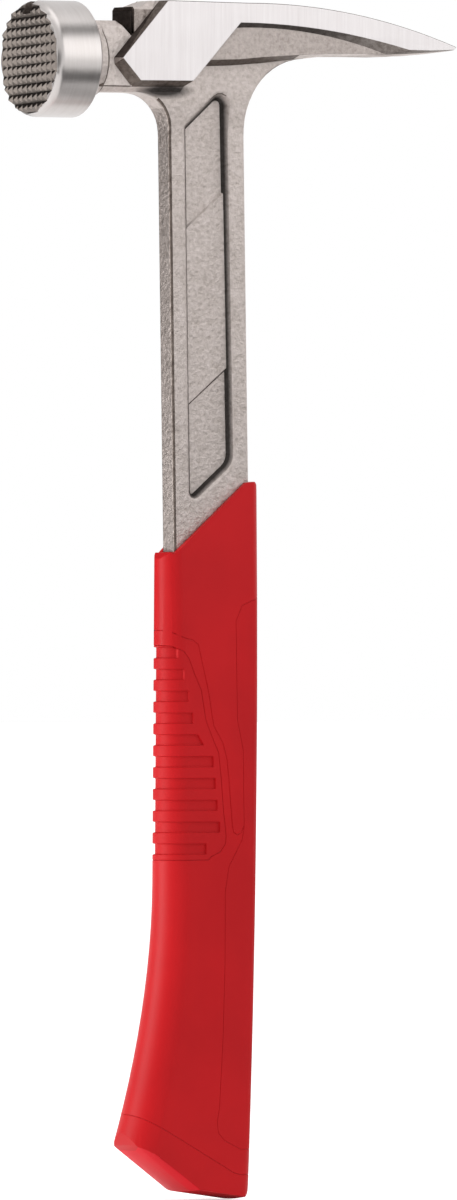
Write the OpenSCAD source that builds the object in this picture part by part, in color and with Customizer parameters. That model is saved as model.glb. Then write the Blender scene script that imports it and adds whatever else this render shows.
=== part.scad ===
/* [Head] */
// Radius of the round striking poll
poll_r = 18.5; // [16:0.1:22]
// Distance from the handle axis to the crown of the striking face
face_x = 63.9; // [55:0.1:72]
// Spacing of the pyramid teeth on the striking face
tooth_pitch = 3.03; // [2:0.01:4]
// Height of the pyramid teeth
tooth_h = 1.1; // [0.5:0.1:1.6]
// Turn of the tooth rows about the poll axis, in degrees
tooth_turn = -2.5; // [-6:0.5:6]
// Width of the nail groove along the top of the poll
groove_w = 4.8; // [3:0.1:7]
// Half width of the polished cheeks and of the claw band
cheek_y = 10.2; // [9:0.1:12]
// Half width of the sunk side of the claw
claw_y = 8.8; // [7:0.1:9.5]
// Half width of the neck and of the nail stop
neck_y = 6.85; // [5.5:0.05:8]
// Half width of the web that carries the head
web_y = 4.8; // [4:0.1:5.5]
// Distance from the handle axis to the claw tips
claw_x = 89.9; // [80:0.1:100]
// Width of the nail slot between the claw tips
slot_tip_w = 9.2; // [6:0.1:11]
// Width of the nail slot at its closed end
slot_root_w = 3.0; // [2:0.1:4]

/* [Shank] */
// Width of the flanged shank
shank_w = 28; // [22:0.5:32]
// Thickness of the shank flanges
shank_t = 7.5; // [6:0.1:10]
// Half thickness of the web left between the two side recesses
web_t = 1.35; // [1:0.05:2.5]
// Slope of the shank away from square to the head
lean = 0.0153; // [0:0.0001:0.03]

/* [Grip] */
// Half thickness of the grip at its upper lip
grip_y = 5.6; // [5:0.1:8]
// Gain in half thickness per millimetre down the grip
grip_gain = 0.0235; // [0:0.0005:0.05]
// Spacing of the finger ribs
rib_pitch = 6.93; // [5:0.01:9]
// Depth of the pockets between the finger ribs
rib_depth = 0.8; // [0.4:0.1:1.2]
// Thickness of the soft inlays in the grip
inlay_t = 1.8; // [1.4:0.1:2.2]

/* [Hidden] */
// height of the poll axis above the underside of the neck
axis_h = 10.2;

// centre line of the shank at height z
function ax(z) = 0.15 - lean * z;

// points along the circular arc through three points, n steps
function arc3(a, b, c, n) =
    let (d = 2 * (a.x * (b.y - c.y) + b.x * (c.y - a.y) + c.x * (a.y - b.y)))
    let (ux = ((a * a) * (b.y - c.y) + (b * b) * (c.y - a.y) + (c * c) * (a.y - b.y)) / d)
    let (uy = ((a * a) * (c.x - b.x) + (b * b) * (a.x - c.x) + (c * c) * (b.x - a.x)) / d)
    let (r = norm(a - [ux, uy]), s = atan2(a.y - uy, a.x - ux))
    let (e0 = atan2(c.y - uy, c.x - ux) - s)
    let (e = e0 > 180 ? e0 - 360 : (e0 < -180 ? e0 + 360 : e0))
    [for (i = [0:n]) [ux + r * cos(s + e * i / n), uy + r * sin(s + e * i / n)]];

// points of an arc about c from angle p to angle q
function arc(c, r, p, q, n) =
    [for (i = [0:n]) let (t = p + (q - p) * i / n) [c.x + r * cos(t), c.y + r * sin(t)]];

// corner k of a convex outline with offset d and corner radius r + d
function corner(p, k, r, d, n) =
    let (m = len(p), a = p[(k + m - 1) % m], b = p[k], c = p[(k + 1) % m])
    let (u = (b - a) / norm(b - a), v = (c - b) / norm(c - b))
    let (nu = [u.y, -u.x], nv = [v.y, -v.x], f = (nu + nv) / (1 + nu * nv))
    let (o = b - r * f, s = atan2(nu.y, nu.x), e0 = atan2(nv.y, nv.x) - s, e = e0 < 0 ? e0 + 360 : e0)
    arc(o, r + d, s, s + e, n);
function rounded(p, r, d, n) = [for (k = [0:len(p) - 1]) each corner(p, k, r[k], d, n)];

// solid through outlines of equal length: each level is [outline in x and z, its y], y rising
module stack(levels) {
    n = len(levels[0][0]);
    m = len(levels) - 1;
    pts = [for (l = levels) for (p = l[0]) [p.x, l[1], p.y]];
    ends = [[for (i = [n - 1:-1:0]) i], [for (i = [0:n - 1]) m * n + i]];
    side = [for (k = [0:m - 1]) for (i = [0:n - 1]) let (j = (i + 1) % n, a = k * n)
        each [[a + i, a + j, a + n + i], [a + j, a + n + j, a + n + i]]];
    polyhedron(pts, concat(ends, side));
}
// outline a on both outer sides, drawn in to outline b nearer the middle
module sides(a, ya, b, yb) {
    stack([[a, -ya], [b, -yb], [b, yb], [a, ya]]);
}
// outline in x and z carried across the part to both sides
module across(p, hy) {
    rotate([90, 0, 0]) linear_extrude(height = 2 * hy, center = true) polygon(p);
}
// outline in y and z carried along x
module along(p, x0, x1) {
    translate([x0, 0, 0]) rotate([90, 0, 90]) linear_extrude(height = x1 - x0) polygon(p);
}

// ---- head outlines, measured from the poll axis ----
top_arc = arc3([12, 18.55], [60.8, 13.9], [claw_x, 5.65], 16);
top_back = [for (i = [16:-1:0]) top_arc[i]];
band_hi = arc3([4, 12.2], [40.6, 10.4], [72.3, 4.45], 12);
band_lo = arc3([1, 10.1], [41.5, 8.6], [64.2, 2.95], 12);
cheek_out = [[-17.4, 18.9], [-34.1, 0.5], [-34, 0.3], [-27.6, -6.6], [-8.2, -6.5], [9.3, 12.2],
    [12, 18.55]];
cheek_in = [[-18.8, 18.9], [-35.5, 0.6], [-35.4, -1.5], [-29.3, -8.4], [-10.1, -8.4], [9.3, 12.2],
    [12, 18.55]];
claw_edge = [[-6, 0.1], [9.8, 0.6], [18, 1.4], [32.1, 2.3], [43.3, 2.9], [54.5, 3.05], [64.2, 2.95],
    [72.3, 3.25], [80.5, 3.8], [claw_x - 0.7, 4.6]];
claw_under = [[-8, -2.2], [9.8, -1.5], [18, -0.8], [32.1, 0.9], [43.3, 2.1], [54.5, 2.3], [64.2, 2.3],
    [72.3, 2.6], [80.5, 3.3], [claw_x - 0.5, 4.35]];
band_end_out = [[74, 4.45], [80.5, 4.4], [claw_x - 1, 4.7]];
band_end_in = [[72.3, 3.25], [80.5, 3.8], [claw_x - 0.7, 4.6]];
neck_sec = [[-neck_y, -8.4], [-4.5, -10.25], [4.5, -10.25], [neck_y, -8.4], [neck_y, 10.7], [5.2, 12.3],
    [-5.2, 12.3], [-neck_y, 10.7]];
stop_sec = [[-neck_y, 0], [neck_y, 0], [neck_y, 16], [3.6, 18.9], [-3.6, 18.9], [-neck_y, 16]];

// poll with its collar, turned about the x axis
module poll() {
    prof = concat([[0, -64.8], [poll_r - 1.15, -64.8], [poll_r - 1.15, -62.5], [poll_r - 0.4, -61.5],
        [poll_r, -60.2], [poll_r, -46.9], [poll_r - 0.6, -46.3]], arc([14.5, -43.7], 2.6, -90, -180, 6),
        [[11.9, -40.2], [6.85, -37.2], [0, -37.2]]);
    rotate([0, 90, 0]) rotate_extrude($fn = 96) polygon(prof);
}
// saw outline that leaves ridges d high along one way, their crests on a slight dome
function saw(shift, d) = concat([[-68, -20.5]],
    [for (i = [0:26]) let (t = (i - 13) * tooth_pitch / 2 + shift)
        [t * t / 640 - face_x + (i % 2 == 1 ? 0 : d), t]],
    [[-68, 20.5]]);
// everything in front of the toothed striking face: two crossed sets of grooves
module face_cut() {
    across(saw(-0.4, tooth_h + 0.1), 21);
    linear_extrude(height = 44, center = true) polygon(saw(0, tooth_h));
}
module neck() {
    difference() {
        along(neck_sec, -42, -9.9);
        across([[-34.6, 12.6], [-28.5, 6.9], [-20, 6.9], [-20, 13]], 9);
    }
}
// block that stops the nail head, with its chamfered top
module nail_stop() {
    intersection() {
        along(stop_sec, -28.5, -12);
        across([[-28.5, 0], [-10, 0], [-10, 18.9], [-19.8, 18.9], [-22.2, 18.2], [-25.4, 16.8],
            [-28.5, 16.8]], 9);
    }
}
module cheeks() {
    sides(cheek_out, cheek_y, cheek_in, neck_y);
}
module claw() {
    top = concat(top_back, [[4, 16], [-9, 8]]);
    sides(concat(claw_edge, top), claw_y, concat(claw_under, top), web_y - 0.6);
    out = concat(band_hi, band_end_out, top_back, [[4, 16]]);
    low = concat(band_lo, band_end_in, top_back, [[4, 16]]);
    stack([[out, -cheek_y], [low, -claw_y]]);
    stack([[low, claw_y], [out, cheek_y]]);
}
// nail slot between the claw tines, wider on the handle side
function slot(g) = concat([[95, -slot_tip_w / 2 - g], [95, slot_tip_w / 2 + g]],
    arc([47, 0], slot_root_w / 2 + g, 90, 270, 10));
module nail_slot() {
    rotate([90, 0, 0]) stack([[slot(1.3), -3], [slot(0), 20]]);
}
// shank and web in one outline, thicker where it joins the head
module web() {
    front = arc([-25.5, -22.3], 12.05, 90, 0, 10);
    cx = ax(-21) + shank_w / 2 + 22.3;
    back = arc([cx, -21], 22.3, 180, 93, 12);
    low = [[ax(-160) - shank_w / 2, -160], [ax(-160) + shank_w / 2, -160]];
    intersection() {
        across(concat(front, low, back, [[cx + 2, 4], [9, 11.5], [-20, 11.5], [-25.5, 4]]), 9);
        along([[-shank_t / 2, -160], [shank_t / 2, -160], [shank_t / 2, -24], [web_y, -12], [web_y, 16],
            [-web_y, 16], [-web_y, -12], [-shank_t / 2, -24]], -40, 95);
    }
}
function recess(d) = rounded([[ax(-141.7) - 8.2, -141.7], [ax(-127.8) + 8.6, -127.8], [ax(-7) + 7.9, -7],
    [ax(-20.9) - 8.2, -20.9]], [2.2, 7, 3.2, 2], d, 5);
module recesses() {
    for (m = [0, 1]) mirror([0, m, 0]) stack([[recess(1.7), -web_t - 4.8], [recess(-1.7), -web_t]]);
}
// low fields left standing in the recess floors, d longer at their sloped ends
function field(d) = [[-8.2, -111.4 - d], [10.2, -96.3 - d], [9.8, -40.2 + d], [-8.2, -55.1 + d]];
module fields() {
    sides(field(0), web_t + 0.6, field(1), web_t - 0.25);
}
tang_out = [[-10.9, -155], [-10.6, -230], [-8.6, -338], [9.6, -338], [14, -230], [14.7, -155]];
module tang() {
    difference() {
        across(tang_out, 3);
        for (z = [-200, -250, -300]) translate([ax(z) - (z < -280 ? 2 : 0), 0, z]) rotate([90, 0, 0])
            linear_extrude(height = 8, center = true) union() {
                square([9, 20], center = true);
                translate([0, 10]) circle(d = 9, $fn = 48);
                translate([0, -10]) circle(d = 9, $fn = 48);
            }
    }
}
module magnet_block(g) {
    translate([-28.7, -5.8, 7.6]) cube([4.2 + g, 11.6, 7.8]);
}

// ---- grip outlines ----
function deep(z) = max(0, -134 - z);
function flare(z) = 13.5 * pow(max(0, (-262 - z) / 81), 1.85);
// section of the grip at height z, brought in by t on every side
function section(z, t) =
    let (s = deep(z), b = grip_y + grip_gain * s - t)
    let (xf = -15.6 - 0.0035 * s - flare(z) + t, r = 4.5 - 0.7 * t)
    let (xb = 19.9 - 0.0026 * s - 0.000114 * s * s - t)
    let (m = (xf + b + xb - r) / 2)
    concat(arc([xf + b, 0], b, 90, 270, 14), [[m, -b]], arc([xb - r, r - b], r, -90, 0, 4),
        arc([xb - r, b - r], r, 0, 90, 4), [[m, b]]);
module loft(t, z0, z1, n) {
    ring = [for (k = [0:n]) let (z = z0 + (z1 - z0) * k / n) [for (p = section(z, t)) [p.x, p.y, z]]];
    m = len(ring[0]);
    side = [for (k = [0:n - 1]) for (i = [0:m - 1]) let (j = (i + 1) % m, a = k * m)
        each [[a + i, a + m + i, a + j], [a + j, a + m + i, a + m + j]]];
    polyhedron([for (r = ring) each r], concat([[for (i = [0:m - 1]) i]], side,
        [[for (i = [m - 1:-1:0]) n * m + i]]));
}
module outer() {
    loft(0, -366, -128, 34);
}
lip = [[25, -138], [20.2, -137.8], [19.3, -135], [17.8, -133.6], [14.2, -133.9], [-12.4, -156.7],
    [-13.6, -156.1], [-15.9, -158.4], [-40, -158.6]];
seam = [[-40, -330.5], [-29.5, -333.2], [-20.2, -338.5], [2.5, -351], [6.3, -353.2], [9, -353.9],
    [25, -353.9]];
butt_low = [[13.6, -354.6], [12.9, -357.9], [11.8, -360.2], [10, -361.9], [6, -364.5], [-20, -364.5],
    [-24.6, -347.6], [-26.3, -345.9], [-27.5, -344.1], [-28.6, -341.6], [-30, -337.5], [-40, -334]];
rib_field = [[-25, -253.9], [-1.5, -253.9], [-0.5, -252.8], [2.9, -251.3], [4.8, -248.8], [5.1, -246.2],
    [4.2, -238], [3.5, -227.5], [2.7, -219.8], [0, -214], [-1.9, -209.4], [-3.4, -200], [-6, -194.5],
    [-7.8, -190], [-9.6, -187.6], [-13, -186], [-25, -184.4]];
spine_field = [[25, -346], [9, -345.8], [3.2, -343], [0.9, -340.6], [0.5, -337], [1.4, -332.6], [3, -311],
    [4.1, -286.6], [4.5, -264], [6, -256], [11, -247.5], [11.8, -243.5], [11.8, -219], [9.8, -209.4],
    [9.7, -178], [12, -173], [25, -168]];
rib_end = [[-11.6, -11.6], [-9.7, -9.7], [-8.1, -8.1], [-6.6, -6.6], [-2.7, -4.9], [0.7, 0.7], [1.4, 1.4],
    [2, 2], [2.8, 2.8], [-2.3, -2.3]];
module rib_room() {
    difference() {
        across(rib_field, 14);
        loft(inlay_t, -262, -176, 12);
    }
}
module spine_room() {
    difference() {
        across(spine_field, 14);
        loft(inlay_t, -352, -160, 28);
    }
}
module rib_pockets() {
    difference() {
        for (k = [0:9]) let (z = -189.7 - rib_pitch * k)
            across([[-25, z], [rib_end[k][0], z], [rib_end[k][1], z + 3.4], [-25, z + 3.4]], 15);
        loft(rib_depth, -258, -180, 12);
    }
}
sleeve_out = [[-13.1, -160], [-12.2, -230], [-10.2, -340], [11.2, -340], [15.6, -230], [16.5, -160]];
module sleeve_room() {
    across(sleeve_out, 4.6);
}
module plug() {
    translate([-3, -3.5, -358]) cube([9, 7, 15]);
}

// round bar that crowns the underside: it touches point p, slopes down by t degrees, radius r
module crown(p, t, r) {
    translate([p.x + r * sin(t), 0, p.y + r * cos(t)]) rotate([0, 90 + t, 0]) rotate(90)
        cylinder(h = 160, r = r, center = true, $fn = 96);
}

// ---- the pieces ----
module forged_body() {
    color("lightgray") translate([0, 0, axis_h]) {
        difference() {
            poll();
            rotate([tooth_turn, 0, 0]) {
                face_cut();
                translate([-70, -groove_w / 2, 14.2]) cube([32, groove_w, 8]);
            }
        }
        neck();
        difference() {
            nail_stop();
            magnet_block(0);
        }
        resize([0, 0, 0]) union() {
            cheeks();
            difference() {
                claw();
                nail_slot();
            }
        }
        difference() {
            web();
            recesses();
        }
        fields();
        tang();
    }
}
module nail_magnet() {
    color("dimgray") translate([0, 0, axis_h]) magnet_block(0);
}
module tang_sleeve() {
    color("black") translate([0, 0, axis_h]) difference() {
        sleeve_room();
        tang();
    }
}
module grip_shell() {
    color("firebrick") translate([0, 0, axis_h]) difference() {
        intersection() {
            outer();
            across(concat(lip, seam), 16);
        }
        rib_room();
        spine_room();
        across([[ax(-130) - 14, -130], [ax(-160) - 14, -160], [ax(-160) + 14, -160],
            [ax(-130) + 14, -130]], shank_t / 2);
        sleeve_room();
        plug();
    }
}
module rib_inlay() {
    color("crimson") translate([0, 0, axis_h]) difference() {
        intersection() {
            outer();
            rib_room();
        }
        rib_pockets();
    }
}
module spine_strip() {
    color("crimson") translate([0, 0, axis_h]) intersection() {
        outer();
        spine_room();
    }
}
module butt_cap() {
    color("firebrick") translate([0, 0, axis_h]) {
        intersection() {
            outer();
            across(concat(seam, butt_low), 16);
            crown([10, -361.8], 8, 60);
            crown([-13.1, -355.8], 35.75, 32);
        }
        plug();
    }
}

forged_body();
nail_magnet();
tang_sleeve();
grip_shell();
rib_inlay();
spine_strip();
butt_cap();
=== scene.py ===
import math
import bpy
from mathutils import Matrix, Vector


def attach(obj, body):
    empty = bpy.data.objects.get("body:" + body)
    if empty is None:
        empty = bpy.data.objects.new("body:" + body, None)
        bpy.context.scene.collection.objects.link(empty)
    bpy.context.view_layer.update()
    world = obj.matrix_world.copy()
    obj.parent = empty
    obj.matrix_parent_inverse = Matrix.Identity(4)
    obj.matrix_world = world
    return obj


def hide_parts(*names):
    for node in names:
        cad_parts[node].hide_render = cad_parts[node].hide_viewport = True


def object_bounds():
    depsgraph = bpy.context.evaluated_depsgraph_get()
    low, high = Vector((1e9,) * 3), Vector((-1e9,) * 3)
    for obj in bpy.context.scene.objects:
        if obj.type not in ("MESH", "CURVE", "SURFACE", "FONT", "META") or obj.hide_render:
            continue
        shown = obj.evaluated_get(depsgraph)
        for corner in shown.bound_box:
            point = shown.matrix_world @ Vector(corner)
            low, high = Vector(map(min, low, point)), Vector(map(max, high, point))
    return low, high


# Framing hammer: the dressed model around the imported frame.
# The scene is in metres, +Z up, with the striking face towards -X. Lengths in capitals below are in mm.

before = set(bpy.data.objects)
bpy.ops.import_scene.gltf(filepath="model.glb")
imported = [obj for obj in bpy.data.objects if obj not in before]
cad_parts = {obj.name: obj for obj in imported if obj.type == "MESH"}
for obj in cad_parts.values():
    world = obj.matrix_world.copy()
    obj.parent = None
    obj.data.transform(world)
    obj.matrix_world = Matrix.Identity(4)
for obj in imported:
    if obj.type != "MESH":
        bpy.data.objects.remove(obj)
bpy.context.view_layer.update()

MM = 0.001
AXIS_H = 10.2  # height of the poll axis over the frame's origin
TOOTH_FOOT = -61.6  # x behind the striking teeth
TOOTH_R = 17.3  # the teeth lie inside this radius
POLL_BACK = -44  # the poll is turned in front of this x, and blasted behind it
COLLAR_X = -40.2  # x where the collar meets the neck
NECK_Y = 6.85  # half width of the neck and the nail stop
NECK_FOOT = 8.4  # the neck's upright sides end this far under the poll axis
CHEEK_Y = 10.2  # half width over the ground cheeks
CLAW_Y = 8.8  # half width over the sunk claw sides
SMOOTH_ANGLE = 35  # edges that turn by less, in degrees, are shaded as one surface


# ---- small helpers ----
def linear(hex_colour):
    """sRGB hex to linear RGBA."""
    h = hex_colour.lstrip("#")
    rgb = [int(h[i:i + 2], 16) / 255 for i in (0, 2, 4)]
    return [c / 12.92 if c <= 0.04045 else ((c + 0.055) / 1.055) ** 2.4 for c in rgb] + [1.0]


def add(mat, kind, settings=None, links=None):
    """Adds a node: settings go on sockets or properties by name, links come from (node, output).
    The setting "stops" fills a colour ramp with (position, hex) pairs."""
    tree = mat.node_tree
    n = tree.nodes.new(kind)
    for name, value in (settings or {}).items():
        if name == "stops":
            elements = n.color_ramp.elements
            while len(elements) < len(value):
                elements.new(0.5)
            for element, (place, colour) in zip(elements, value):
                element.position = place
                element.color = linear(colour)
        elif isinstance(name, int) or name in n.inputs.keys():
            n.inputs[name].default_value = value
        else:
            setattr(n, name, value)
    for name, (source, output) in (links or {}).items():
        tree.links.new(source.outputs[output], n.inputs[name])
    return n


def shader(name):
    mat = bpy.data.materials.new(name)
    mat.use_nodes = True
    return mat, mat.node_tree.nodes["Principled BSDF"]


def plug_in(mat, source, output, target, socket):
    mat.node_tree.links.new(source.outputs[output], target.inputs[socket])


def select_only(piece):
    bpy.ops.object.select_all(action="DESELECT")
    piece.select_set(True)
    bpy.context.view_layer.objects.active = piece


def aim_at(ob, place, aim):
    """Puts a lamp or card at place, facing aim."""
    ob.location = place
    ob.rotation_euler = (Vector(place) - Vector(aim)).to_track_quat("Z", "Y").to_euler()


# ---- materials ----
def forged_steel(name, light, mid, dark, rough, bump, fade=None):
    """Carbon steel, drop forged and shot blasted: a dull warm grey with a peened grain and soft mottling.
    Real shot marks are near 0.3 mm; the grain is drawn at 1.5 mm, as coarse as it needs to show.
    fade = (axis, from, to, low, high) lightens the painted shade from low to high along X, or outwards along
    Y."""
    mat, bsdf = shader(name)
    bsdf.inputs["Metallic"].default_value = 1.0
    place = add(mat, "ShaderNodeTexCoord")
    coord = (place, "Object")
    cloud = add(mat, "ShaderNodeTexNoise",
                {"Scale": 1 / (6 * MM), "Detail": 2.0, "Roughness": 0.5}, {"Vector": coord})
    grain = add(mat, "ShaderNodeTexNoise",
                {"Scale": 1 / (1.5 * MM), "Detail": 5.0, "Roughness": 0.7}, {"Vector": coord})
    pits = add(mat, "ShaderNodeTexVoronoi", {"Scale": 1 / (1.4 * MM), "Randomness": 1.0}, {"Vector": coord})
    mix = add(mat, "ShaderNodeMath", {"operation": "MULTIPLY_ADD", 1: 0.2},
              {0: (cloud, "Fac"), 2: (grain, "Fac")})
    tone = add(mat, "ShaderNodeValToRGB", {"stops": [(0.42, dark), (0.60, mid), (0.80, light)]},
               {"Fac": (mix, 0)})
    # painted shade: darker in inner corners, where shade falls
    corner = add(mat, "ShaderNodeAmbientOcclusion", {"samples": 6, "Distance": 5 * MM})
    corner_shade = add(mat, "ShaderNodeMapRange",
                  {"From Min": 0.25, "From Max": 0.75, "To Min": 0.35, "To Max": 1.0},
                  {"Value": (corner, "AO")})
    # painted shade: a dark hollow under each cheek's lower edge, beside the neck's root
    axes = add(mat, "ShaderNodeSeparateXYZ", links={"Vector": coord})
    width = add(mat, "ShaderNodeMath", {"operation": "ABSOLUTE"}, {0: (axes, "Y")})
    both_sides = add(mat, "ShaderNodeCombineXYZ",
                     links={"X": (axes, "X"), "Y": (width, 0), "Z": (axes, "Z")})
    hollow = add(mat, "ShaderNodeMapping",
                 {"vector_type": "TEXTURE", "Location": (-0.0157, 0.0060, 0.0004),
                  "Scale": (0.0105, 0.0038, 0.0024)}, {"Vector": (both_sides, "Vector")})
    depth = add(mat, "ShaderNodeVectorMath", {"operation": "LENGTH"}, {0: (hollow, "Vector")})
    hollow_shade = add(mat, "ShaderNodeMapRange",
                {"From Min": 0.55, "From Max": 1.15, "To Min": 0.12, "To Max": 1.0},
                {"Value": (depth, "Value")})
    # painted shade from the corners and the hollow, together, darkens the tone
    painted_shade = add(mat, "ShaderNodeMath", {"operation": "MULTIPLY"},
               {0: (corner_shade, "Result"), 1: (hollow_shade, "Result")})
    if fade:
        axis, start, end, low, high = fade
        clear = add(mat, "ShaderNodeMapRange",
                    {"From Min": start * MM, "From Max": end * MM, "To Min": low, "To Max": high},
                    {"Value": (axes, "X") if axis == "X" else (width, 0)})
        painted_shade = add(mat, "ShaderNodeMath", {"operation": "MULTIPLY"}, {0: (painted_shade, 0), 1: (clear, "Result")})
    shaded_tone = add(mat, "ShaderNodeVectorMath", {"operation": "SCALE"},
               {0: (tone, "Color"), "Scale": (painted_shade, 0)})
    plug_in(mat, shaded_tone, "Vector", bsdf, "Base Color")
    gloss = add(mat, "ShaderNodeMapRange", {"To Min": rough - 0.07, "To Max": rough + 0.09},
                {"Value": (grain, "Fac")})
    plug_in(mat, gloss, "Result", bsdf, "Roughness")
    rise = add(mat, "ShaderNodeMath", {"operation": "MULTIPLY_ADD", 1: 0.35},
               {0: (pits, "Distance"), 2: (grain, "Fac")})
    edge = add(mat, "ShaderNodeBevel", {"samples": 4, "Radius": 0.4 * MM})
    relief = add(mat, "ShaderNodeBump", {"Strength": bump, "Distance": 0.4 * MM},
                 {"Height": (rise, 0), "Normal": (edge, 0)})
    plug_in(mat, relief, "Normal", bsdf, "Normal")
    return mat


def brushed_steel(name, light, dark, rough, stretch, bump, valley=0.0):
    """Carbon steel cut after forging: bright, with hairlines drawn out along the way it was cut.
    Real hairlines are near 0.1 mm; they are drawn at 0.9 mm, as coarse as they need to show.
    valley is how far, in mm, painted shade reaches up out of narrow grooves."""
    mat, bsdf = shader(name)
    bsdf.inputs["Metallic"].default_value = 1.0
    place = add(mat, "ShaderNodeTexCoord")
    lines = add(mat, "ShaderNodeMapping", {"Scale": stretch}, {"Vector": (place, "Object")})
    hair = add(mat, "ShaderNodeTexNoise",
               {"Scale": 1 / (0.9 * MM), "Detail": 6.0, "Roughness": 0.7}, {"Vector": (lines, "Vector")})
    cloud = add(mat, "ShaderNodeTexNoise", {"Scale": 1 / (12 * MM), "Detail": 2.0},
                {"Vector": (place, "Object")})
    mix = add(mat, "ShaderNodeMath", {"operation": "MULTIPLY_ADD", 1: 0.3},
              {0: (cloud, "Fac"), 2: (hair, "Fac")})
    tone = add(mat, "ShaderNodeValToRGB", {"stops": [(0.42, dark), (0.85, light)]}, {"Fac": (mix, 0)})
    plug_in(mat, tone, "Color", bsdf, "Base Color")
    if valley:
        corner = add(mat, "ShaderNodeAmbientOcclusion", {"samples": 6, "Distance": valley * MM})
        groove_shade = add(mat, "ShaderNodeMapRange",
                    {"From Min": 0.30, "From Max": 0.75, "To Min": 0.20, "To Max": 1.0},
                    {"Value": (corner, "AO")})
        shaded_tone = add(mat, "ShaderNodeVectorMath", {"operation": "SCALE"},
                   {0: (tone, "Color"), "Scale": (groove_shade, "Result")})
        plug_in(mat, shaded_tone, "Vector", bsdf, "Base Color")
    gloss = add(mat, "ShaderNodeMapRange", {"To Min": rough - 0.06, "To Max": rough + 0.08},
                {"Value": (hair, "Fac")})
    plug_in(mat, gloss, "Result", bsdf, "Roughness")
    edge = add(mat, "ShaderNodeBevel", {"samples": 4, "Radius": 0.25 * MM})
    relief = add(mat, "ShaderNodeBump", {"Strength": bump, "Distance": 0.05 * MM},
                 {"Height": (hair, "Fac"), "Normal": (edge, 0)})
    plug_in(mat, relief, "Normal", bsdf, "Normal")
    return mat


def moulded(name, body, shade, rough, grain_mm, bump, sheen=0.0, shine=0.14):
    """Injection moulded plastic: an even colour under a fine spark-eroded grain, with little gloss."""
    mat, bsdf = shader(name)
    bsdf.inputs["IOR"].default_value = 1.5
    bsdf.inputs["Specular IOR Level"].default_value = shine
    bsdf.inputs["Sheen Weight"].default_value = sheen
    place = add(mat, "ShaderNodeTexCoord")
    coord = (place, "Object")
    cloud = add(mat, "ShaderNodeTexNoise", {"Scale": 1 / (25 * MM), "Detail": 3.0}, {"Vector": coord})
    grain = add(mat, "ShaderNodeTexNoise",
                {"Scale": 1 / (grain_mm * MM), "Detail": 3.0, "Roughness": 0.6}, {"Vector": coord})
    tone = add(mat, "ShaderNodeValToRGB", {"stops": [(0.35, shade), (0.65, body)]}, {"Fac": (cloud, "Fac")})
    plug_in(mat, tone, "Color", bsdf, "Base Color")
    gloss = add(mat, "ShaderNodeMapRange", {"To Min": rough - 0.05, "To Max": rough + 0.06},
                {"Value": (grain, "Fac")})
    plug_in(mat, gloss, "Result", bsdf, "Roughness")
    relief = add(mat, "ShaderNodeBump", {"Strength": bump, "Distance": 0.05 * MM},
                 {"Height": (grain, "Fac")})
    plug_in(mat, relief, "Normal", bsdf, "Normal")
    return mat


# blasted skin of the shank, web and collar: pale warm grey, dull and softly mottled
blasted = forged_steel("carbon_steel_forged_blasted", "#D3C9C5", "#C5BBB6", "#B3A9A3", 0.50, 0.8)
# forge scale and painted shade on chamfers, steps, undersides and grooves: brown-black lines round the
# bright faces
scale_and_shade = forged_steel("carbon_steel_forge_scale_and_shade", "#80766F", "#6C625C", "#544B46", 0.60, 0.45)
# cheeks and claw band, ground upright: nearly white, with faint upright streaks
ground = brushed_steel("carbon_steel_ground_upright", "#CDC9C9", "#C0BBBB", 0.30, (1.0, 1.0, 0.03), 0.10)
# poll, turned: soft bright and dark bands with hairlines round it
turned = brushed_steel("carbon_steel_turned", "#C6C1BF", "#B9B3B0", 0.30, (1.0, 0.05, 0.05), 0.07)
# milled teeth: duller than the poll, and darker between the crests as painted shade
milled = brushed_steel("carbon_steel_milled_crest", "#8E857F", "#79716B", 0.42, (1.0, 1.0, 1.0), 0.12, 1.5)
# upper flanks of the teeth, painted dark as a painted reflection: the dark rows on the face
painted_dark_flank = brushed_steel("carbon_steel_milled_dark_flank", "#4A4340", "#2E2826", 0.45, (1.0, 1.0, 1.0), 0.12)
# step over the sunk claw side: painted shade, dark by the cheek and clearing towards the tips
step_wall = forged_steel("carbon_steel_forged_claw_step", "#C0B6B1", "#A89E98", "#8A807A", 0.55, 0.5,
                         ("X", 38, 66, 0.22, 0.62))
# sloped walls of the side recess: painted shade, dark at the foot and clean at the rim
recess_wall = forged_steel("carbon_steel_forged_recess_wall", "#CCC2BD", "#BEB4AF", "#A59B95", 0.50, 0.6,
                           ("Y", 2.4, 4.0, 0.10, 0.95))
# sides of the nail stop and the shank's rounded front edges, as forged: rough and spotted; on the front
# edges its darker tone is also painted shade
pitted = forged_steel("carbon_steel_as_forged_pitted", "#C6BBB5", "#A99E98", "#7C726C", 0.55, 1.0)
# front of the shank: the blasted skin a shade darker, as painted shade
front_flat = forged_steel("carbon_steel_forged_shank_front", "#BBB1AC", "#ADA39E", "#958B85", 0.52, 0.9)
# sunk side of the claw: between the two
claw_side = forged_steel("carbon_steel_forged_claw_side", "#C7BDB8", "#B8AEA9", "#A59B95", 0.52, 0.8)
# sides of the neck: a shade brighter than the blasted skin
neck_side = forged_steel("carbon_steel_forged_neck_side", "#E0D7D3", "#D5CBC6", "#C1B7B1", 0.50, 0.9)
# front of the nail stop: nearly black and dull
nail_stop_dark = forged_steel("carbon_steel_nail_stop_dark", "#5C524E", "#4B423E", "#37302D", 0.62, 0.35)
# magnet, sintered and ground: charcoal, with hardly any shine
ferrite = forged_steel("sintered_magnet_ground", "#655C58", "#544C48", "#413A37", 0.50, 0.2)
# grip body and butt: an even satin red
hard_red = moulded("polypropylene_red_moulded", "#C1151B", "#B91319", 0.40, 0.45, 0.12)
# soft overmoulded ribs and back strip: the same red, a little more matt and finer in grain
soft_red = moulded("thermoplastic_rubber_red_moulded", "#BF151B", "#B61319", 0.50, 0.35, 0.20)
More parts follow.
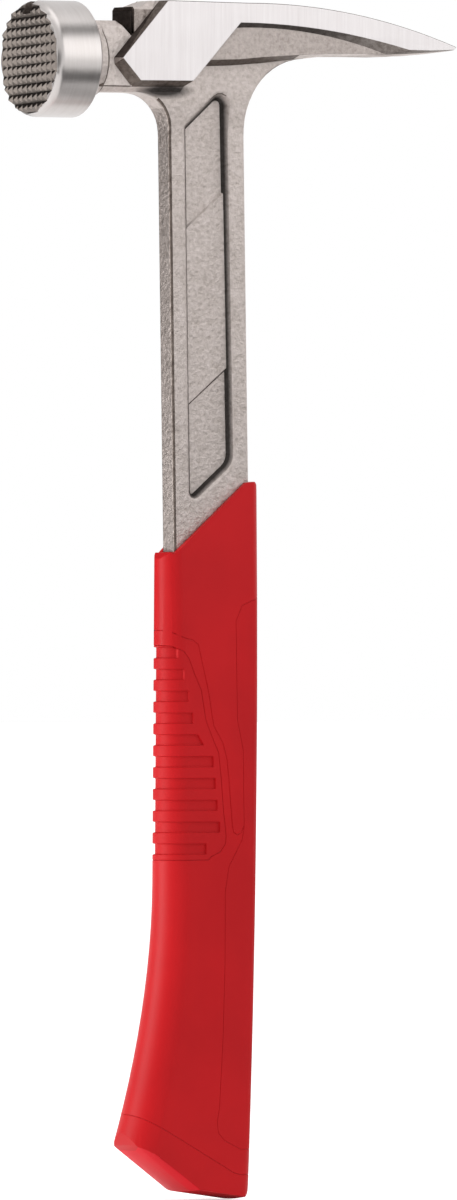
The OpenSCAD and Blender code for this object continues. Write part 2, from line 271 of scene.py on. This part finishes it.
# sloped facet under the butt's nose: a lighter red, as painted light from below
facet_lit_red = moulded("polypropylene_red_moulded_facet", "#D91E2A", "#D01B27", 0.45, 0.45, 0.12, shine=0.10)
# underside of the butt: matt, so the floor doesn't grey it
under_red = moulded("polypropylene_red_moulded_underside", "#B8161C", "#AF141A", 0.60, 0.45, 0.12,
                    shine=0.02)
# hidden sleeve round the tang: plain matt black
black_nylon = moulded("nylon_black_moulded", "#1C1B1B", "#171616", 0.55, 0.4, 0.15)


# ---- modelling ----
def take(node, name, beyond=-1.0):
    """A free copy of a CAD node's mesh: doubles merged, flat stretches joined where x is over beyond."""
    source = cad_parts[node]
    piece = bpy.data.objects.new(name, source.data.copy())
    bpy.context.scene.collection.objects.link(piece)
    piece.data.name = name
    piece.data.materials.clear()
    select_only(piece)
    bpy.ops.object.mode_set(mode="EDIT")
    bpy.ops.mesh.select_all(action="SELECT")
    bpy.ops.mesh.customdata_custom_splitnormals_clear()
    bpy.ops.mesh.remove_doubles(threshold=0.002 * MM)
    bpy.ops.mesh.dissolve_degenerate(threshold=0.002 * MM)
    bpy.ops.mesh.select_all(action="DESELECT")
    bpy.ops.object.mode_set(mode="OBJECT")
    for face in piece.data.polygons:
        face.select = face.center.x > beyond
    bpy.ops.object.mode_set(mode="EDIT")
    bpy.ops.mesh.dissolve_limited(angle_limit=math.radians(0.25))
    bpy.ops.object.mode_set(mode="OBJECT")
    return piece


def apply_all(piece):
    select_only(piece)
    for m in list(piece.modifiers):
        bpy.ops.object.modifier_apply(modifier=m.name)


def soften(piece, width, weigh, segments=3):
    """Rounds the edges by a width in mm times the weight that weigh(a, b, angle, faces) gives each edge."""
    mesh = piece.data
    sides = {}
    for face in mesh.polygons:
        for key in face.edge_keys:
            sides.setdefault(key, []).append(face)
    layer = mesh.attributes.new("bevel_weight_edge", "FLOAT", "EDGE")
    for edge in mesh.edges:
        near = sides.get(edge.key, [])
        if len(near) != 2:
            continue
        turn = math.degrees(near[0].normal.angle(near[1].normal, 0))
        a, b = (mesh.vertices[i].co / MM for i in edge.vertices)
        layer.data[edge.index].value = weigh(a, b, turn, near)
    mod = piece.modifiers.new("soft_edges", "BEVEL")
    mod.limit_method = "WEIGHT"
    mod.width = width * MM
    mod.segments = segments
    mod.use_clamp_overlap = False
    mod.miter_outer = "MITER_ARC"
    apply_all(piece)


def smooth(piece):
    select_only(piece)
    bpy.ops.object.shade_smooth_by_angle(angle=math.radians(SMOOTH_ANGLE))
    mod = piece.modifiers.new("even_normals", "WEIGHTED_NORMAL")
    mod.keep_sharp = True
    apply_all(piece)


def dress(piece, materials, choose=None):
    """Gives each face the material that choose(centre in mm, normal) returns, or the only one."""
    for m in materials:
        piece.data.materials.append(m)
    if choose:
        place = {m.name: i for i, m in enumerate(materials)}
        for face in piece.data.polygons:
            face.material_index = place[choose(face.center / MM, face.normal).name]


def rider(piece, slot, *nodes):
    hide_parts(*nodes)
    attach(piece, "root")


# ---- the forging ----
def shank_x(z):
    """Centre line of the shank at height z over the origin, mm."""
    return 0.15 - 0.0153 * (z - AXIS_H)


def forging_edges(a, b, turn, near):
    """How much an edge of the forging is rounded, from its ends in mm, its turn in degrees and its faces."""
    mid = (a + b) / 2
    width = abs(mid.y)
    off = abs(mid.x - shank_x(mid.z))
    tops = sorted(face.normal.z for face in near)
    # corners of the nail stop's front
    if turn > 60 and -29 < mid.x < -28 and mid.z > 18 and width > 3:
        return 0.8
    # top edges of the cheeks and the claw
    on_cheek = abs(width - CHEEK_Y) < 0.05 and mid.z > AXIS_H + 5
    if turn > 60 and on_cheek and tops[1] > 0.8 and abs(tops[0]) < 0.2:
        return 0.3
    # where the collar meets the neck
    if turn > 40 and abs(mid.x - COLLAR_X) < 0.3 and math.hypot(mid.y, mid.z - AXIS_H) > 11:
        return 0.35
    # lower edges of the neck
    on_foot = abs(mid.z - AXIS_H + NECK_FOOT) < 0.2 and width > 6.5
    if turn > 20 and on_foot and mid.x < -29 and abs(a.x - b.x) > 1:
        return 0.3
    # below here only the edges of the web and shank, down to where the tang starts
    if not 3.5 < width < 4.95 or mid.z < -146:
        return 0
    # rim of the side recess
    if turn > 40 and mid.z < 4 and off < 11:
        return 0.55
    if turn < 55:
        return 0
    # the shank's four long edges
    if mid.z < -13 and off > 13:
        return 0.7
    # edges round the front and the rear fillet, which run out towards the head
    front = math.hypot(mid.x + 25.5, mid.z + 12.1)
    if mid.x < -13 and mid.z < -0.3 and abs(front - 12.05) < 0.4:
        return min(0.7, 0.15 + (mid.x + 25.5) / 10)
    back = math.hypot(mid.x - shank_x(-10.8) - 36.3, mid.z + 10.8)
    if mid.x > 13 and abs(back - 22.3) < 0.5:
        return max(0.0, min(0.7, (34 - mid.x) / 18))
    return 0


def forging_finish(c, n):
    """The finish of a face of the forging, from its centre in mm and its normal."""
    x, width, z = c.x, abs(c.y), c.z - AXIS_H
    side = abs(n.y)
    reach = math.hypot(c.y, z)
    off = x - shank_x(c.z)
    # teeth with their painted dark flanks, then the walls and floor of the nail groove in painted shade,
    # then the rest of the poll
    if x < TOOTH_FOOT and reach < TOOTH_R:
        return painted_dark_flank if n.z > 0.3 else milled
    if x < -38 and width < 3.4 and 13.6 < z < 18.2 and (side > 0.85 or (n.z > 0.9 and z < 14.8)):
        return scale_and_shade
    if x < POLL_BACK:
        return turned
    # painted shade: dark lines where the collar meets the neck and along the neck's lower edges; then the
    # neck's sides
    if abs(x - COLLAR_X) < 0.4 and reach > 11 and 0.1 < n.x < 0.8:
        return scale_and_shade
    if abs(z + NECK_FOOT) < 0.4 and 0.66 < side < 0.98 and n.z < -0.1 and x < -28:
        return scale_and_shade
    if abs(width - NECK_Y) < 0.05 and side > 0.95 and z < 7 and x < -12:
        return neck_side
    if x < -34:
        return blasted
    # front and sides of the nail stop
    if x < -27 and z > 7.5 and n.x < -0.4:
        return nail_stop_dark
    if x < -16 and z > 12 and abs(width - NECK_Y) < 0.15:
        return pitted
    # cheeks and claw band, their chamfers, and the walls below them, which are dark with scale and painted
    # shade
    if width > CHEEK_Y - 0.05 and side > 0.9:
        return ground
    if width > 9.9 and n.z > 0.2 and 0.2 < side < 0.97:
        return scale_and_shade
    if width > CLAW_Y + 0.05 and side < 0.95 and n.z < 0.9:
        return scale_and_shade if x < 8 else step_wall
    # underside of the claw by the web, dark as painted shade
    if 4.2 < width < CLAW_Y and n.z < -0.5 and 2 < x < 34:
        return scale_and_shade
    # painted shade on the shank's rounded front edges and its flat front: darker tones that damp the
    # highlight there
    if c.z < -2 and off < -11.5 and 3 < width < 4.9 and 0.12 < side < 0.995:
        return scale_and_shade if side > 0.45 else pitted
    if c.z < -2 and n.x < -0.8 and off < -12.5:
        return front_flat
    if x > 8 and z > -3 and 5 < width < CLAW_Y + 0.05 and side > 0.9:
        return claw_side
    # upper ends of the raised fields in the recess
    if c.z < -30 and width < 2.1 and n.z > 0.2:
        return blasted
    # walls between the cheeks and the neck, dark as painted shade
    if NECK_Y + 0.05 < width and side < 0.9 and -36 < x < 9 and n.z < 0.9:
        return scale_and_shade
    # lower ends of the raised fields, and the recess walls, both dark as painted shade
    if c.z < 4 and 1.3 < width < 4.7 and side < 0.75 and abs(off) < 11:
        return scale_and_shade if width < 2.1 else recess_wall
    return blasted


forging = take("forged_body", "forged_hammer", TOOTH_FOOT * MM)
soften(forging, 1.2, forging_edges)
dress(forging, [blasted, scale_and_shade, ground, turned, painted_dark_flank, nail_stop_dark, milled, pitted, step_wall, recess_wall,
                front_flat, claw_side, neck_side], forging_finish)
smooth(forging)
rider(forging, "forged_steel", "forged_body")


# ---- the grip ----
def moulded_edges(a, b, turn, near):
    return 1.0 if turn > 28 and (a - b).length > 0.25 else 0


def groove(piece, path, radius):
    """Cuts a fine round-bottomed line along path, x and z in mm, into the piece's near and far side."""
    for side in (-1, 1):
        points = []
        for x, z in path:
            start = Vector((x * MM, side * 50 * MM, z * MM))
            hit, place, _, _ = piece.ray_cast(start, Vector((0, -side, 0)))
            if hit:
                points.append(place.copy())
        curve = bpy.data.curves.new("line", "CURVE")
        curve.dimensions = "3D"
        curve.bevel_depth = radius * MM
        curve.bevel_resolution = 1
        curve.use_fill_caps = True
        spline = curve.splines.new("POLY")
        spline.points.add(len(points) - 1)
        for p, place in zip(spline.points, points):
            p.co = (*place, 1)
        tool = bpy.data.objects.new("line", curve)
        bpy.context.scene.collection.objects.link(tool)
        select_only(tool)
        bpy.ops.object.convert(target="MESH")
        mod = piece.modifiers.new("line", "BOOLEAN")
        mod.operation = "DIFFERENCE"
        mod.solver = "EXACT"
        mod.object = tool
        apply_all(piece)
        bpy.data.objects.remove(tool)


def butt_finish(c, n):
    """The underside of the butt, its sloped front facet in a lighter red as painted light, or its sides."""
    if n.z < -0.9:
        return under_red
    return facet_lit_red if n.z < -0.6 and n.x < -0.2 else hard_red


shell = take("grip_shell", "grip_body")
ribs = take("rib_inlay", "finger_ribs")
spine = take("spine_strip", "back_strip")
butt = take("butt_cap", "butt_end")
for piece, edge_width in ((shell, 0.22), (ribs, 0.30), (spine, 0.18), (butt, 0.25)):
    soften(piece, edge_width, moulded_edges, 2)
# the edge of the moulded panel beside the finger ribs: round the front, down past the ribs, up to the strip
panel_edge = [(-15.75, -170.7), (-15.3, -170.7), (-12.7, -171.6), (-9.6, -173.0), (-6.5, -173.8),
              (-4.4, -175.2), (-3.2, -180.4), (-1.9, -185.7), (-0.6, -191.6), (0.3, -197.6), (1.0, -201.1),
              (4.3, -206.7), (5.7, -211.9), (6.3, -218.3), (7.4, -233.2), (7.9, -235.0), (9.2, -235.7),
              (10.6, -235.0), (11.6, -233.0)]
groove(shell, panel_edge, 0.22)

for piece, finishes, slot, node in ((shell, [hard_red], "grip", "grip_shell"),
                                    (ribs, [soft_red], "grip_soft", "rib_inlay"),
                                    (spine, [soft_red], "grip_soft", "spine_strip"),
                                    (butt, [hard_red, facet_lit_red, under_red], "grip", "butt_cap")):
    dress(piece, finishes, butt_finish if piece == butt else None)
    smooth(piece)
    rider(piece, slot, node)

# the magnet and the hidden sleeve keep their CAD meshes
for node, finish in (("nail_magnet", ferrite), ("tang_sleeve", black_nylon)):
    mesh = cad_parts[node].data
    mesh.materials.clear()
    mesh.materials.append(finish)


# ---- floor, light and camera ----
low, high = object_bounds()
bpy.ops.mesh.primitive_plane_add(size=40, location=(0, 0, low.z - 0.2 * MM))
floor = bpy.context.active_object
floor.name = "floor"
# the floor's own glow makes it white to the camera and nearly so in the metal; it lights nothing
pale, pale_bsdf = shader("pale_floor")
pale_bsdf.inputs["Base Color"].default_value = linear("#F2F2F2")
pale_bsdf.inputs["Roughness"].default_value = 0.9
seen = add(pale, "ShaderNodeLightPath")
dimmed = add(pale, "ShaderNodeMath", {"operation": "MULTIPLY", 1: 0.75}, {0: (seen, "Is Glossy Ray")})
both = add(pale, "ShaderNodeMath", {"operation": "MAXIMUM"}, {0: (seen, "Is Camera Ray"), 1: (dimmed, 0)})
level = add(pale, "ShaderNodeMath", {"operation": "MULTIPLY", 1: 0.55}, {0: (both, 0)})
pale_bsdf.inputs["Emission Color"].default_value = (1, 1, 1, 1)
plug_in(pale, level, 0, pale_bsdf, "Emission Strength")
floor.data.materials.append(pale)

world = bpy.data.worlds.new("studio")
bpy.context.scene.world = world
world.use_nodes = True
sky = world.node_tree.nodes["Background"]
sky.inputs["Color"].default_value = (1, 1, 1, 1)
seen = add(world, "ShaderNodeLightPath")
both = add(world, "ShaderNodeMath", {"operation": "MAXIMUM"},
           {0: (seen, "Is Camera Ray"), 1: (seen, "Is Glossy Ray")})
every = add(world, "ShaderNodeMath", {"operation": "MAXIMUM"},
            {0: (both, 0), 1: (seen, "Is Transmission Ray")})
level = add(world, "ShaderNodeMapRange", {"To Min": 0.75, "To Max": 1.0}, {"Value": (every, 0)})
plug_in(world, level, "Result", sky, "Strength")


def lamp(name, place, aim, size, power):
    data = bpy.data.lights.new(name, "AREA")
    data.shape = "RECTANGLE"
    data.size, data.size_y = size
    data.energy = power
    ob = bpy.data.objects.new(name, data)
    bpy.context.scene.collection.objects.link(ob)
    aim_at(ob, place, aim)


def card(name, place, aim, size, tone):
    """A studio card that shows only in reflections."""
    bpy.ops.mesh.primitive_plane_add(size=1)
    ob = bpy.context.active_object
    ob.name = name
    ob.dimensions = (size[0], size[1], 0)
    aim_at(ob, place, aim)
    mat, bsdf = shader(name)
    bsdf.inputs["Base Color"].default_value = linear(tone)
    bsdf.inputs["Roughness"].default_value = 1.0
    ob.data.materials.append(mat)
    for ray in ("visible_camera", "visible_diffuse", "visible_shadow", "visible_transmission"):
        setattr(ob, ray, False)


hammer = (0, 0, -0.1)
poll_front = (-0.055, 0, 0.01)
lamp("soft_front", (-1.45, 0.30, 0.0), hammer, (1.2, 1.3), 9)
lamp("soft_grip", (-0.58, 0.20, -0.24), (0, 0, -0.27), (0.28, 0.36), 1.9)
lamp("soft_right", (0.9, -1.5, 0.6), hammer, (1.0, 1.2), 4)
lamp("soft_top", (0.1, -0.2, 1.6), hammer, (1.2, 1.2), 4)
card("card_behind", (-0.20, 0.30, 0.07), (0, 0, 0.07), (0.9, 0.56), "#141414")
card("card_low", (0.21, -0.35, -0.24), poll_front, (0.8, 0.19), "#101010")
card("card_under", (0.15, -0.105, -0.316), poll_front, (0.6, 0.10), "#9A9A9A")
card("card_front", (-0.41, -0.39, -0.03), (-0.062, -0.018, -0.03), (0.34, 0.26), "#101010")
card("card_high", (0.20, -0.215, 0.38), poll_front, (0.8, 0.10), "#303030")

# level view from 31 degrees towards the striking face; the lens shows 381.6 mm of height at 6 m
turn = math.radians(31)
distance = 6.0
across = Vector((math.cos(turn), -math.sin(turn), 0))
towards = Vector((-math.sin(turn), -math.cos(turn), 0))
target = across * 9.305 * MM + Vector((0, 0, -161.07 * MM))
lens = bpy.data.cameras.new("camera")
lens.sensor_width = 36
lens.lens = 566.04
lens.clip_start = 0.5
lens.clip_end = 60
camera = bpy.data.objects.new("camera", lens)
bpy.context.scene.collection.objects.link(camera)
camera.location = target + towards * distance
camera.rotation_euler = towards.to_track_quat("Z", "Y").to_euler()
bpy.context.scene.camera = camera
bpy.context.scene.view_settings.view_transform = "Standard"
